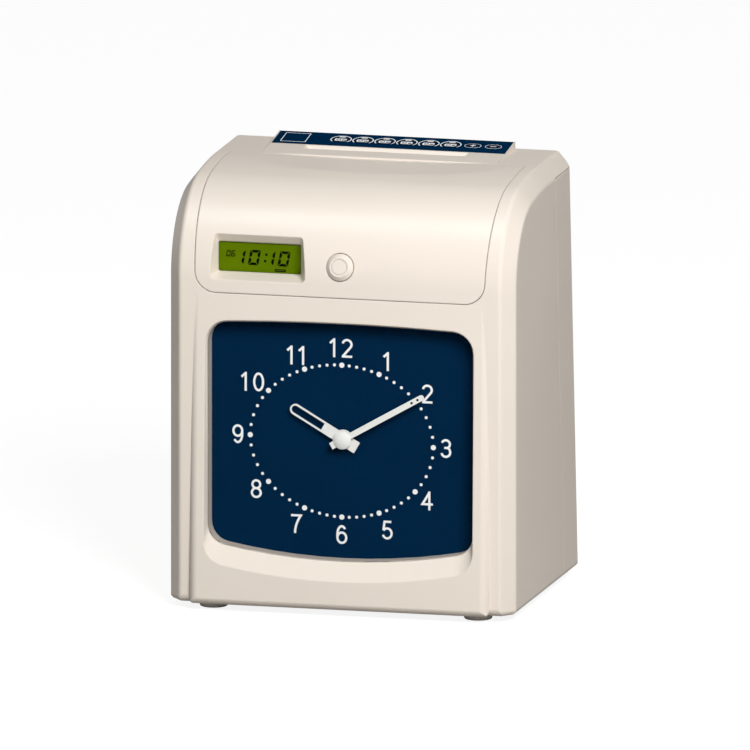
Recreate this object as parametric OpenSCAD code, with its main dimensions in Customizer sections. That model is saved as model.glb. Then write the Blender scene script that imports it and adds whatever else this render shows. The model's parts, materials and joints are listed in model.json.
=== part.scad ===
// Time clock: a desk recorder with an analogue dial, a display and a card printer under its lid.
// Millimetres. X to the right, Y to the back, Z up, origin on the desk under the middle of the case.

/* [Housing] */
// Width across the sides
body_w = 200; // [192:1:230]
// Depth at the base, from the front panel to the back
body_d = 160; // [156:1:190]
// Height of the housing above its feet
body_h = 241.3; // [236:0.1:265]
// Height of the feet
foot_h = 4; // [3:0.5:8]
// Diameter of the feet
foot_dia = 16; // [12:1:22]
// Wall of the moulded shells
wall = 2.5; // [2:0.1:3]
// Radius of the curve from the front to the top
front_r = 53; // [48:1:56]
// Flat run between the crown behind that curve and the plinth
crown_flat = 5; // [4:0.5:7]
// Angle that the front curve turns before the crown
front_turn = 81; // [79:0.5:83]
// Width of the bevelled edge, across the front
bevel_w = 7.2; // [6:0.1:8]
// Depth of the bevelled edge, into the side
bevel_d = 9; // [7:0.1:10]
// Rounding of the two edges of the bevel
bevel_r = 3; // [1:0.5:4]
// Radius of the lower front edge
edge_r = 5; // [3:0.5:7]
// Radius of the case's lower edge at the bevels, the sides and the back
side_edge_r = 3.5; // [2:0.5:4]
// Lean of the back, in degrees
back_lean = 4.75; // [3:0.25:5]
// Depth of the rear cover
cover_d = 36; // [30:1:40]
// Radius of the upright rear corners
rear_r = 3.5; // [3:0.5:11]
// Gap at the parting lines
seam = 0.35; // [0.3:0.05:0.5]

/* [Dial] */
// From the side of the housing to the proud panel round the dial
panel_side = 13.4; // [12:0.2:15]
// How far the panel stands proud at its foot
panel_proud = 5; // [4:0.5:6]
// Rounding of the upright edges of the panel
panel_r = 5; // [3:0.5:6]
// From the side of the housing to the edge of the dial that shows
dial_side = 23.3; // [22.5:0.1:25]
// From the base to the lowest point of the dial
dial_low = 27.5; // [26:0.5:30]
// From the top of the dial to the lid's lower edge
dial_gap = 15.2; // [13:0.2:18]
// Hands' centre above the middle of the dial
hub_up = 0.65; // [0:0.05:1.5]
// Radius of the dial's curved lower edge
dial_arch = 350; // [300:10:500]
// Corner radius of the dial
dial_r = 12; // [9:1:14]
// Height of the sloping sill under the dial
sill_h = 11; // [8:0.5:12]
// Draft of the recess at its sides and top
draft = 1.1; // [0.6:0.1:1.5]
// Depth from the sill's inner edge to the dial
dial_deep = 9.2; // [8.8:0.2:11]
// Thickness of the lens
lens_t = 1.2; // [1:0.1:1.5]
// Thickness of the dial
dial_t = 1.6; // [1.2:0.1:2]
// Length of the minute hand
minute_l = 54.4; // [45:0.2:60]
// Length of the hour hand
hour_l = 35; // [28:0.5:42]
// Length of the minute hand's tail
minute_tail = 7.4; // [6:0.2:10]
// Length of the hour hand's tail
hour_tail = 9.2; // [6:0.2:11]

/* [Lid] */
// From the top to the lid's lower edge
lid_drop = 62.9; // [60:0.1:65]
// Width of the lid at its lower edge
lid_w_low = 166.6; // [160:0.2:168]
// Width of the lid at the top
lid_w_high = 172; // [168:0.2:174]
// Corner radius of the lid
lid_r = 12; // [6:1:16]
// Width of the display that shows
lcd_w = 47.5; // [44:0.5:49]
// Height of the display that shows
lcd_h = 16.8; // [15:0.1:17.5]
// Middle of the display, left of the middle of the lid
lcd_x = 48.9; // [47:0.1:50]
// Height of the display's middle above the lid's lower edge
lcd_up = 18.8; // [17.8:0.1:20]
// Diameter of the release button
button_dia = 15.4; // [14.6:0.2:18]
// Angle of the release button on the front curve
button_tilt = 11.1; // [10:0.1:13]
// Travel of the release button
button_travel = 2.5; // [1.5:0.1:3]
// Diameter of the hinge pins
pin_dia = 3; // [2.6:0.1:3.4]
// Hinge axis behind the lid's rear edge
hinge_back = 14; // [13:0.5:15]
// Hinge axis below the top
hinge_drop = 8; // [7.8:0.1:8.6]

/* [Keypad and card slot] */
// Width of the plinth on the top
plinth_w = 136.4; // [136:0.2:144]
// Length of the plinth, front to back
plinth_l = 44.6; // [44:0.2:46]
// Length of the plinth's front part, which carries the card slot
plinth_flat = 22; // [21.6:0.1:22.4]
// Rise of the plinth where the keypad's slope begins
plinth_low = 1.2; // [1:0.1:1.4]
// Rise of the plinth at the back
plinth_rise = 4.1; // [3.8:0.1:4.8]
// Width of the keypad's overlay
overlay_w = 134.8; // [134:0.2:135.6]
// Diameter of the round keys
key_dia = 10; // [9:0.2:10.4]
// Spacing of the round keys
key_pitch = 12.7; // [12.5:0.1:13]
// Travel of a key
key_travel = 0.5; // [0.3:0.1:0.5]
// Width of the card slot's throat
throat_w = 88; // [86:0.5:90]
// Front-to-back size of the card slot's throat
throat_d = 5.6; // [5:0.1:6]
// Width of the slot's funnel at the top
funnel_w = 95.6; // [94:0.2:98]

/* [Printer and movement] */
// Gap between the two chassis plates
chassis_gap = 109; // [106:1:110]
// Thickness of the chassis plates and card guides
sheet = 1.5; // [1.2:0.1:1.8]
// Diameter of the feed roller
feed_dia = 18.4; // [18:0.1:18.8]
// Diameter of the pinch roller
pinch_dia = 10.8; // [10.4:0.1:11]
// Diameter of the carriage's guide rod
rod_dia = 5; // [4:0.2:6]
// Travel of the print carriage to each side
carriage_travel = 30; // [20:1:30]
// Module of the minute and motor gears
gear_m = 0.8; // [0.7:0.01:0.84]
// Radial clearance of running shafts
run_gap = 0.05; // [0.03:0.01:0.09]

/* [Hidden] */
$fn = 64;

// Colours
cream = [0.90, 0.86, 0.81];
navy = [0.01, 0.15, 0.25];
white = [0.95, 0.95, 0.93];
steel = [0.72, 0.73, 0.74];
brass = [0.78, 0.65, 0.35];
black = [0.12, 0.12, 0.13];
board_green = [0.10, 0.36, 0.20];

// Places of the housing's faces
base_z = foot_h;
top_z = base_z + body_h;
strip_y = -body_d / 2 + panel_proud;
back_y = body_d / 2;
back_top_y = back_y - body_h * tan(back_lean);
rear_top_z = top_z - bevel_d;
plinth_y = back_top_y - plinth_l;
crown_r = round(10 * (front_r + (plinth_y - crown_flat - strip_y - front_r) / cos(front_turn))) / 10;
front_end = [-cos(front_turn), sin(front_turn)];
front_c = [strip_y + front_r, top_z - crown_r + (crown_r - front_r) * front_end[1]];
crown_c = front_c - (crown_r - front_r) * front_end;
crown_deep = 100;
tangent_ease = 0.05;
over = 1;

// Places on the lid
lid_h = body_h - lid_drop;
lid_z = base_z + lid_h;
panel_w = body_w - 2 * panel_side;
panel_tilt = asin(panel_proud / lid_h);
panel_deep = 12;
plinth_rear = 0.6;
plinth_slope = atan((plinth_rise - plinth_low) / (plinth_l - plinth_flat));
lid_rear_y = plinth_y - 2.9;
hinge_y = lid_rear_y + hinge_back;
hinge_z = top_z - hinge_drop;
hinge_reach = norm([hinge_back, hinge_drop]);
scoop_r = 2000;
scoop_depth = 1.88;
scoop_front = 55.7;
scoop_l = 100;
lcd_z = lid_z + lcd_up;
lcd_y = strip_y + 11;
lcd_lip = 2;
lcd_slope_left = 2.4;
lcd_slope_right = 5;
lcd_slope_low = 2.9;
lcd_slope_high = 12.6;
lcd_r = 3;
lcd_window_t = 1;
lcd_panel_t = 2.5;
board_t = 1.6;

// Places of the dial's stack, front to back
sill_y = strip_y + 2;
frame_y = sill_y + lens_t;
dial_y = sill_y + dial_deep;
backing_y = dial_y + dial_t;
dial_ledge = 4;
fit_gap = 0.3;
pocket_wall = 2;
dial_w = body_w - 2 * dial_side;
dial_top_z = lid_z - dial_gap;
dial_low_z = base_z + dial_low;
hub_z = (dial_top_z + dial_low_z) / 2 + hub_up;
ear_r = 5;
ear_x = dial_w / 2 + dial_ledge + fit_gap + pocket_wall + ear_r + over;
ear_zs = [hub_z - 50, hub_z + 50];
screw_r = 1.5;
pilot_r = 1.25;
head_r = 2.9;
head_t = 2;

// Gears: the motion work turns the hour wheel once for twelve turns of the minute arbor
cannon_teeth = 12;
motion_teeth = 36;
motion_pinion_teeth = 10;
hour_teeth = 40;
minute_teeth = 60;
pinion_teeth = 10;
gear_t = 2;
motion_x = gear_m * (cannon_teeth + motion_teeth) / 2;
hour_m = 2 * motion_x / (hour_teeth + motion_pinion_teeth);
motor_far = gear_m * (minute_teeth + pinion_teeth) / 2;
motor_turn = 225;
motor_x = motor_far * cos(motor_turn);
motor_z = hub_z + motor_far * sin(motor_turn);
arbor_r = 1.5;
cannon_r = 2.5;
pipe_r = 4;
stud_r = 1.2;
pillar_r = 3;
pillar_at = 30;
plate_t = 1.5;
hour_y = backing_y + plate_t + 0.7;
motion_y = hour_y + gear_t + 1;
minute_y = motion_y + 7;
rear_plate_y = minute_y + 5;
hand_t = 0.9;
hour_hand_y = dial_y - 3.4;
minute_hand_y = hour_hand_y - 2.5;

// Places of the printer, round the card's path
throat_y = plinth_y + 12.8;
throat_rear = throat_y + throat_d;
card_y = throat_y + 0.8;
print_z = top_z - 34.5;
feed_z = print_z - 20;
rod_z = print_z + 12;
screw_z = print_z - 11;
rod_y = throat_y - 26.2;
plate_x = chassis_gap / 2;
floor_z = base_z + wall;
feed_y = card_y + 0.2 + feed_dia / 2;
pinch_y = card_y - 0.2 - pinch_dia / 2;
feed_r = 3;
pinch_r = 2;
feed_teeth = 30;
feed_pinion_teeth = 12;
feed_far = gear_m * (feed_teeth + feed_pinion_teeth) / 2;
tyre_x = 30;
tyre_w = 12;
gear_x = plate_x + sheet + 1.5;
chassis_front = throat_y - 47;
chassis_rear = throat_y + 17;
chassis_top = top_z - 14;
chute_low = floor_z + 34;
carriage_w = 25;
screw_r_lead = 3;
journal_r = 2;
cassette_h = 14;
arm_in = carriage_w / 2 + carriage_travel + 1.5;
arm_out = arm_in + 8;

// Places on the keypad, along the plinth's slope
key_s = 33.3;
key_x0 = -29.9;
overlay_s = plinth_flat + 0.3;
overlay_t = 0.7;
overlay_sink = 0.6;
key_gap = 0.3;
key_proud = 0.2;
flange_t = 0.6;
flange_drop = 0.4;
board_n = -7.2;
function_w = 8.4;
function_l = 5.4;
function_xs = [46.4, 58.2];
flange_grow = 1.14;
window_w = 2 * (function_xs[1] + flange_grow * function_w / 2 + 2 * key_gap);
window_l = 16;

// Fasteners of the rear cover and the base
post_r = 5;
post_x = body_w / 2 - 8;
post_zs = [24, body_h - 41.3];
base_post_x = body_w / 2 - 8;
base_post_ys = [strip_y + 24, strip_y + 96];
base_post_h = 16;
foot_x = body_w / 2 - 23.5;
foot_ys = [strip_y + 15, back_y - 20];
inlet_x = -60;
inlet_z = 34;
inlet_w = 22;
inlet_h = 14;

// Geometry helpers
function unit(a, b) = (b - a) / norm(b - a);
function polar(r, a) = [r * cos(a), r * sin(a)];

// Convex outline with a true arc at each corner that has a radius
module rounded(points, radii) {
    n = len(points);
    corners = [
        for (i = [0 : n - 1])
            let (
                q = points[i],
                u = unit(q, points[(i + n - 1) % n]),
                v = unit(q, points[(i + 1) % n]),
                half = acos(u * v) / 2,
                r = radii[i]
            )
            [q + u * r / tan(half), q + v * r / tan(half), q + (u + v) / norm(u + v) * r / sin(half), r]
    ];
    polygon([for (c = corners) each (c[3] > 0 ? [c[0], c[1]] : [c[0]])]);
    for (c = corners)
        if (c[3] > 0) translate(c[2]) circle(r = c[3]);
}

// Rectangle round the origin with equal corner arcs
module rounded_box(w, h, r) {
    rounded([[-w / 2, -h / 2], [w / 2, -h / 2], [w / 2, h / 2], [-w / 2, h / 2]], [r, r, r, r]);
}

// Straight bar with round ends between two points
module limb(p, q, w) {
    d = q - p;
    translate(p) rotate(atan2(d[1], d[0])) translate([0, -w / 2]) square([norm(d), w]);
    translate(p) circle(d = w);
    translate(q) circle(d = w);
}

// Outline in Y and Z, extruded across X round the middle
module side_extrude(w) {
    rotate([90, 0, 90]) linear_extrude(w, center = true) children();
}

// Outline in X and Z, extruded to the back
module front_extrude(deep) {
    translate([0, deep, 0]) rotate([90, 0, 0]) linear_extrude(deep) children();
}

// Rod along Y or X
module rod_y(r, deep) {
    rotate([-90, 0, 0]) cylinder(r = r, h = deep);
}
module rod_x(r, w) {
    rotate([0, 90, 0]) cylinder(r = r, h = w, center = true);
}

// Spur gear outline with backlash, first tooth at the given angle
module gear_outline(teeth, m, phase) {
    pitch = teeth * m / 2;
    flank = [
        [pitch - 1.1 * m, -0.32], [pitch, -0.2], [pitch + 0.75 * m, -0.1],
        [pitch + 0.75 * m, 0.1], [pitch, 0.2], [pitch - 1.1 * m, 0.32]
    ];
    polygon([for (i = [0 : teeth - 1]) each [for (f = flank) polar(f[0], phase + (i + f[1]) * 360 / teeth)]]);
}

// Frames of the leaning back, the tilted panel, the plinth's slope, the button and the two hinges
module on_back() { translate([0, back_y, base_z]) rotate([back_lean, 0, 0]) children(); }
module on_panel() { translate([0, strip_y, lid_z]) rotate([-panel_tilt, 0, 0]) children(); }
module on_plinth() {
    translate([0, plinth_y + plinth_flat, top_z + plinth_low]) rotate([plinth_slope, 0, 0])
        translate([0, -plinth_flat, 0]) children();
}
module on_button() {
    translate([0, front_c[0] - front_r * cos(button_tilt), front_c[1] + front_r * sin(button_tilt)])
        rotate([90 - button_tilt, 0, 0]) children();
}
module at_hinges() {
    for (side = [-1, 1]) translate([side * hinge_arm_x, hinge_y, hinge_z]) children();
}
module both_sides(x) {
    for (side = [-1, 1]) translate([side * x, 0, 0]) children();
}
hinge_arm_x = 67;
hinge_arm_w = 6;
lug_w = 3.4;
lug_gap = 0.4;
knuckle_r = 4;

// Section of the bevelled band: x across, y inwards from the outer face
module band(half, deep) {
    rounded(
        [[-half, deep], [-half, bevel_d], [bevel_w - half, 0], [half - bevel_w, 0], [half, bevel_d], [half, deep]],
        [0, bevel_r, bevel_r, bevel_r, bevel_r, 0]
    );
}

// The whole case as a filled form, its faces moved in by inset
module body_form(inset, low) {
    half = body_w / 2 - inset;
    ease = half + tangent_ease;
    long = 2 * body_d;
    intersection() {
        union() {
            translate([0, strip_y + inset, low]) linear_extrude(front_c[1] - low) band(half, body_d);
            translate([0, front_c[0], front_c[1]]) rotate([90, 0, -90])
                rotate_extrude(angle = front_turn)
                    translate([front_r - inset, 0]) rotate(90) band(half, front_r - inset);
            translate([0, crown_c[0], crown_c[1]]) rotate([90, 0, -90]) rotate([0, 0, front_turn])
                rotate_extrude(angle = 90 - front_turn)
                    translate([crown_r - inset, 0]) rotate(90) band(half, crown_deep);
            translate([0, crown_c[0], top_z - inset]) front_extrude(body_d) rotate(180) band(half, crown_deep);
        }
        on_back() translate([0, -inset, -long / 4]) linear_extrude(body_h + long / 2)
            rounded([[-ease, 0], [ease, 0], [ease, -long], [-ease, -long]], [rear_r - inset, rear_r - inset, 0, 0]);
    }
}

// Tilted block of the proud panel
module panel_form(inset, deep) {
    half = panel_w / 2 - inset;
    r = panel_r - inset;
    on_panel() translate([0, inset, -lid_z]) linear_extrude(lid_z)
        rounded([[-half, 0], [half, 0], [half, deep], [-half, deep]], [r, r, 0, 0]);
}

// What a rounded lower edge takes away from a wall through a point, turned from the front to the right
module lower_edge(x, y, turn, r) {
    translate([x, y, base_z]) rotate([0, 0, turn]) side_extrude(2 * body_w) difference() {
        translate([-over, -over]) square(r + over);
        translate([r, r]) circle(r = r + tangent_ease);
    }
}

// The same round the case
module lower_edges() {
    bevel_turn = atan2(bevel_d, bevel_w);
    lower_edge(0, strip_y, 0, edge_r);
    lower_edge(0, back_y, 180, side_edge_r);
    for (side = [-1, 1]) {
        lower_edge(side * (body_w - bevel_w) / 2, strip_y + bevel_d / 2, side * bevel_turn, side_edge_r);
        lower_edge(side * body_w / 2, 0, side * 90, side_edge_r);
    }
}

module case_outer() {
    difference() {
        body_form(0, base_z);
        lower_edges();
    }
    difference() {
        panel_form(0, panel_deep);
        lower_edge(0, -body_d / 2, 0, edge_r);
        for (side = [-1, 1]) lower_edge(side * panel_w / 2, 0, side * 90, side_edge_r);
        translate([-body_w / 2, -body_d, base_z - body_d]) cube([body_w, 2 * body_d, body_d]);
    }
}

module case_inner() {
    body_form(wall, base_z - over);
    panel_form(wall, 3 * panel_deep);
}

// Floor behind the rounded lower front edge
module toe() {
    translate([-body_w, -body_d, base_z - body_d]) cube([2 * body_w, body_d + toe_y, body_d + wall]);
}
toe_y = strip_y + edge_r + 2;

// Space of the rear cover: behind the seam plane and under the top's bevel
module rear_zone(gap) {
    intersection() {
        on_back() translate([-body_w, -cover_d + gap, -body_d / 2])
            cube([2 * body_w, body_d, body_h + body_d]);
        translate([-body_w, -body_d, base_z - body_d])
            cube([2 * body_w, 2 * body_d, rear_top_z - gap - base_z + body_d]);
    }
}

// Prism of the lid, seen from the front
module lid_prism(grow) {
    low = lid_w_low / 2 + grow;
    high = lid_w_high / 2 + grow;
    translate([0, -body_d, 0]) front_extrude(body_d + lid_rear_y + 3)
        rounded(
            [[-low, lid_z - grow], [low, lid_z - grow], [high, top_z + 10], [-high, top_z + 10]],
            [lid_r + grow, lid_r + grow, 0, 0]
        );
}

// Cylinder round the hinge axis that the lid's rear edge follows
module hinge_round(r) {
    translate([0, hinge_y, hinge_z]) rod_x(r, 2 * body_w);
}

// Shallow scoop in front of the plinth
module scoop(grow) {
    translate([0, plinth_y - scoop_front, top_z - scoop_depth + scoop_r]) sphere(r = scoop_r + grow, $fn = 360);
}

// Wedge on the top that carries the keypad and the card slot
module plinth() {
    rear = back_top_y - plinth_rear;
    bend = plinth_y + plinth_flat;
    side_extrude(plinth_w) polygon([
        [plinth_y, top_z - over], [rear, top_z - over],
        [rear, top_z + plinth_low + (rear - bend) * tan(plinth_slope)],
        [bend, top_z + plinth_low], [plinth_y, top_z]
    ]);
}

// Card slot: a funnel over a straight throat
module card_slot() {
    low = top_z - wall - over;
    high = top_z + plinth_low + 0.3;
    funnel_z = top_z - wall + 0.5;
    funnel_rear = throat_rear + 3.2;
    translate([-throat_w / 2, throat_y, low - 10]) cube([throat_w, throat_d, high - low + 10]);
    intersection() {
        side_extrude(body_w) polygon([
            [throat_y, funnel_z], [throat_rear, funnel_z], [funnel_rear, high], [throat_y - 0.4, high]
        ]);
        translate([0, throat_y - 5, 0]) front_extrude(20) polygon([
            [-throat_w / 2, funnel_z], [throat_w / 2, funnel_z], [funnel_w / 2, high], [-funnel_w / 2, high]
        ]);
    }
}

// Dial outline: straight sides, slightly arched top, curved lower edge
function arc_points(c, r, a, b, n) = [for (k = [0 : n]) c + polar(r, a + (b - a) * k / n)];
function dial_points(half, low, top, r) =
    let (
        top_arch = 4 * dial_arch,
        x = half - r,
        low_z = low + dial_arch - sqrt((dial_arch - r) ^ 2 - x ^ 2),
        top_z = top - top_arch + sqrt((top_arch - r) ^ 2 - x ^ 2),
        low_a = -acos(x / (dial_arch - r)),
        top_a = acos(x / (top_arch - r))
    )
    concat(
        arc_points([x, low_z], r, low_a, 0, 6),
        arc_points([x, top_z], r, 0, top_a, 6),
        arc_points([0, top - top_arch], top_arch, top_a + 1, 179 - top_a, 4),
        arc_points([-x, top_z], r, 180 - top_a, 180, 6),
        arc_points([-x, low_z], r, 180, 180 - low_a, 6),
        arc_points([0, low + dial_arch], dial_arch, 182 - low_a, 358 + low_a, 8)
    );
module dial_outline(grow, low, top) {
    polygon(dial_points(dial_w / 2 + grow, low, top, dial_r + grow));
}

// Slice of the dial's outline, grown, at a depth
module dial_slab(y, t, grow) {
    translate([0, y, 0]) front_extrude(t) dial_outline(grow, dial_low_z - grow, dial_top_z + grow);
}

// Loft from the panel's face to the sill's inner edge
module recess_loft(grow, y) {
    hull() {
        on_panel() translate([0, -panel_deep / 3, -lid_z]) front_extrude(panel_deep / 3 + grow)
            dial_outline(draft + grow, dial_low_z - sill_h - grow, dial_top_z + draft + grow);
        dial_slab(y - tangent_ease, tangent_ease, grow);
    }
}

// Rectangle between two corners, each turned in a few straight steps
function soft_rect(a, b, r) = concat(
    arc_points([b[0] - r, a[1] + r], r, -90, 0, 4),
    arc_points([b[0] - r, b[1] - r], r, 0, 90, 4),
    arc_points([a[0] + r, b[1] - r], r, 90, 180, 4),
    arc_points([a[0] + r, a[1] + r], r, 180, 270, 4)
);

// Sloping recess in front of the display
module lcd_loft(grow) {
    half = [lcd_w / 2 + grow, lcd_h / 2 + grow];
    low = -half - [lcd_slope_left, lcd_slope_low];
    high = half + [lcd_slope_right, lcd_slope_high];
    hull() {
        translate([-lcd_x, strip_y - over, lcd_z]) front_extrude(over) polygon(soft_rect(low, high, lcd_r + grow));
        translate([-lcd_x, lcd_y - tangent_ease, lcd_z]) front_extrude(tangent_ease)
            polygon(soft_rect(-half, half, lcd_r / 3 + grow));
    }
}

// Housing and covers

module front_housing() {
    color(cream) difference() {
        union() {
            difference() {
                union() {
                    case_outer();
                    plinth();
                }
                difference() {
                    case_inner();
                    toe();
                }
                rear_zone(0);
                difference() {
                    lid_prism(seam);
                    hinge_round(hinge_reach - seam);
                }
            }
            housing_dial_seat();
            housing_bosses();
            housing_hinge_lugs();
        }
        recess_loft(0, sill_y);
        dial_slab(sill_y - over, 2 * over, 0);
        dial_slab(sill_y, dial_deep + dial_t + over, dial_ledge + fit_gap);
        card_slot();
        intersection() {
            scoop(0);
            translate([-body_w, plinth_y - scoop_l, top_z - 10]) cube([2 * body_w, scoop_l, 20]);
        }
        on_plinth() keypad_cut();
        at_hinges() rod_x(pin_dia / 2, 40);
        for (side = [-1, 1], z = ear_zs)
            translate([side * ear_x, sill_y + 3, z]) rod_y(pilot_r, 20);
        for (side = [-1, 1], z = post_zs)
            on_back() translate([side * post_x, -cover_d - 14, z]) rod_y(pilot_r, 20);
        for (side = [-1, 1], y = base_post_ys)
            translate([side * base_post_x, y, base_z]) cylinder(r = pilot_r, h = base_post_h - 2);
    }
}

// Pocket behind the panel that holds the lens, the frame and the dial
module housing_dial_seat() {
    difference() {
        recess_loft(wall, sill_y + wall);
        on_panel() translate([-body_w / 2, wall / 2 - body_d, -2 * body_h]) cube([body_w, body_d, 3 * body_h]);
    }
    dial_slab(strip_y + wall / 2, backing_y - strip_y - wall / 2, dial_ledge + fit_gap + pocket_wall);
}

// Screw bosses for the backing plate, the rear cover and the base, and stops behind the lid's edge
module housing_bosses() {
    intersection() {
        body_form(wall / 2, base_z);
        union() {
            for (side = [-1, 1], z = ear_zs)
                translate([side * ear_x, strip_y, z]) rod_y(ear_r, backing_y - strip_y);
            for (side = [-1, 1], z = post_zs)
                on_back() translate([side * post_x, -cover_d - 20, z]) rod_y(post_r, 20);
            for (side = [-1, 1], z = post_zs)
                on_back() translate([side * (post_x + post_r), -cover_d - 10, z]) cube([post_r * 2, 20, post_r], center = true);
            for (side = [-1, 1], y = base_post_ys)
                translate([side * base_post_x, y, floor_z]) cylinder(r = post_r, h = base_post_h - wall);
            for (side = [-1, 1], y = base_post_ys)
                translate([side * (base_post_x + post_r), y, floor_z + base_post_h / 2 - wall / 2])
                    cube([post_r * 2, post_r, base_post_h - wall], center = true);
        }
    }
    both_sides(lid_w_low / 4) translate([-7, strip_y + wall - over, lid_z - 10]) cube([14, 2.5 + over, 9]);
    both_sides(lid_w_low / 4) translate([-7, strip_y + wall + seam, lid_z - 10]) cube([14, 2.5 - seam, 15]);
}

// Lugs under the top for the hinge pins, lip in front of the slot, and rails for the keypad's board
module housing_hinge_lugs() {
    at_hinges() both_sides(hinge_arm_w / 2 + lug_gap + lug_w / 2) side_extrude(lug_w) {
        circle(r = knuckle_r);
        translate([-knuckle_r, 0]) square([2 * knuckle_r, hinge_drop - wall / 2]);
    }
    intersection() {
        hinge_round(hinge_reach - seam);
        translate([-58, hinge_y - hinge_reach, top_z - 6]) cube([116, plinth_y + 3 - hinge_y + hinge_reach, 5.5]);
    }
    on_plinth() both_sides(window_w / 2 + 2)
        translate([-2, key_s - window_l / 2, board_n]) cube([4, window_l, -board_n - wall / 2]);
}

// Sunk bed of the overlay and the window under the keys
module keypad_cut() {
    translate([-overlay_w / 2 - 0.1, overlay_s - 0.1, -overlay_sink]) cube([overlay_w + 0.2, plinth_l, 5]);
    translate([-window_w / 2, key_s - window_l / 2, -15]) cube([window_w, window_l, 20]);
}

// Outline of the lid from the front, and what its rounded lower right corner takes away
lid_corners = [
    [-lid_w_low / 2, lid_z], [lid_w_low / 2, lid_z], [lid_w_high / 2, top_z + 10], [-lid_w_high / 2, top_z + 10]
];
module lid_corner_waste() {
    q = lid_corners[1];
    u = [-1, 0];
    v = unit(q, lid_corners[2]);
    half = acos(u * v) / 2;
    t = lid_r / tan(half);
    c = q + (u + v) / norm(u + v) * lid_r / sin(half);
    difference() {
        polygon([q + u * t, q - (u + v) * over, q + v * t, c]);
        translate(c) circle(r = lid_r + tangent_ease / 2);
    }
}

// Curve of the lid from the side: the same arcs as the housing, one wall thick
module lid_section() {
    reach = 2 * front_r;
    front_last = polar(reach, 180 - front_turn + 0.15);
    crown_first = polar(2 * crown_r, 180 - front_turn + 0.3);
    translate([strip_y, lid_z - over]) square([wall, front_c[1] - lid_z + 1.5 * over]);
    intersection() {
        translate(front_c) difference() {
            circle(r = front_r, $fn = 180);
            circle(r = front_r - wall, $fn = 180);
        }
        polygon([front_c, front_c + [-reach, 0], front_c + [-reach, reach], front_c + front_last]);
    }
    intersection() {
        translate(crown_c) difference() {
            circle(r = crown_r, $fn = 720);
            circle(r = crown_r - wall, $fn = 720);
        }
        polygon([crown_c, crown_c + crown_first, crown_c + [0, 2 * crown_r]]);
    }
    difference() {
        translate([crown_c[0] - over, top_z - wall]) square([lid_rear_y + 3 + over - crown_c[0], wall]);
        translate([hinge_y, hinge_z]) circle(r = hinge_reach);
    }
}

module access_cover() {
    color(cream) difference() {
        union() {
            difference() {
                intersection() {
                    side_extrude(body_w) lid_section();
                    translate([0, -body_d, 0]) front_extrude(2 * body_d) polygon(lid_corners);
                }
                for (side = [-1, 1])
                    translate([0, -body_d, 0]) front_extrude(2 * body_d) mirror([side < 0 ? 1 : 0, 0]) lid_corner_waste();
            }
            intersection() {
                side_extrude(body_w) {
                    translate(front_c) circle(r = front_r - wall / 2);
                    translate([strip_y + wall / 2, lid_z]) square([front_r, front_c[1] - lid_z]);
                }
                lid_bosses();
            }
            difference() {
                translate([-58, plinth_y - 34, top_z - 5.2]) cube([116, 34, 2.2]);
                hinge_round(hinge_reach);
            }
            at_hinges() side_extrude(hinge_arm_w) hinge_arm();
        }
        scoop(0);
        lcd_loft(0);
        on_button() translate([0, 0, -30]) cylinder(d = button_dia + 2 * key_gap, h = 60);
        at_hinges() rod_x(pin_dia / 2 + run_gap, 20);
    }
}

// Arm that drops under the edge of the top, so that the lid swings clear of it
module hinge_arm() {
    knee = [-9, -15.6];
    elbow = [-21, -8];
    circle(r = knuckle_r);
    limb([0, 0], knee, 5);
    limb(knee, elbow, 5);
    limb(elbow, [-21, hinge_drop - 3.5], 5);
}

// Display surround, button guide and screw posts inside the lid
module lid_bosses() {
    lcd_loft(lcd_lip);
    for (dx = [-1, 1], dz = [-1, 1])
        translate([-lcd_x + dx * lcd_post_x, strip_y, lcd_z + dz * lcd_post_z]) rod_y(2.5, lcd_board_y - strip_y);
    on_button() translate([0, 0, -guide_l]) cylinder(d = button_dia + 2 * key_gap + 4, h = guide_l);
    on_button() both_sides(retainer_x) translate([0, 0, -retainer_n]) cylinder(r = 2.5, h = retainer_n);
}
lcd_board_y = lcd_y + lcd_window_t + lcd_panel_t;
lcd_post_x = lcd_w / 2 + 6;
lcd_post_z = 7.5;
guide_l = 9;
flange_n = guide_l + 0.4;
spring_l = 6;
retainer_n = flange_n + 1.5 + spring_l;
retainer_x = button_dia / 2 + 5.5;

module rear_cover() {
    color(cream) difference() {
        union() {
            intersection() {
                difference() {
                    body_form(0, base_z);
                    body_form(wall, base_z - over);
                }
                rear_zone(seam);
            }
            intersection() {
                body_form(wall / 2, base_z);
                for (side = [-1, 1], z = post_zs)
                    on_back() translate([side * post_x, -cover_d, z]) rod_y(post_r, cover_d);
            }
        }
        lower_edges();
        for (side = [-1, 1], z = post_zs) on_back() translate([side * post_x, 0, z]) {
            translate([0, -cover_d - over, 0]) rod_y(screw_r + 0.2, cover_d + 2 * over);
            translate([0, -12, 0]) rod_y(head_r + 0.4, 20);
        }
        on_back() for (i = [-6 : 6]) translate([i * 8, -over - wall, 150])
            front_extrude(wall + 3 * over) rounded_box(3, 34, 1.4);
        on_back() translate([inlet_x, -10, inlet_z]) front_extrude(20)
            square([inlet_w + 2 * fit_gap, inlet_h + 2 * fit_gap], center = true);
    }
}

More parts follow.
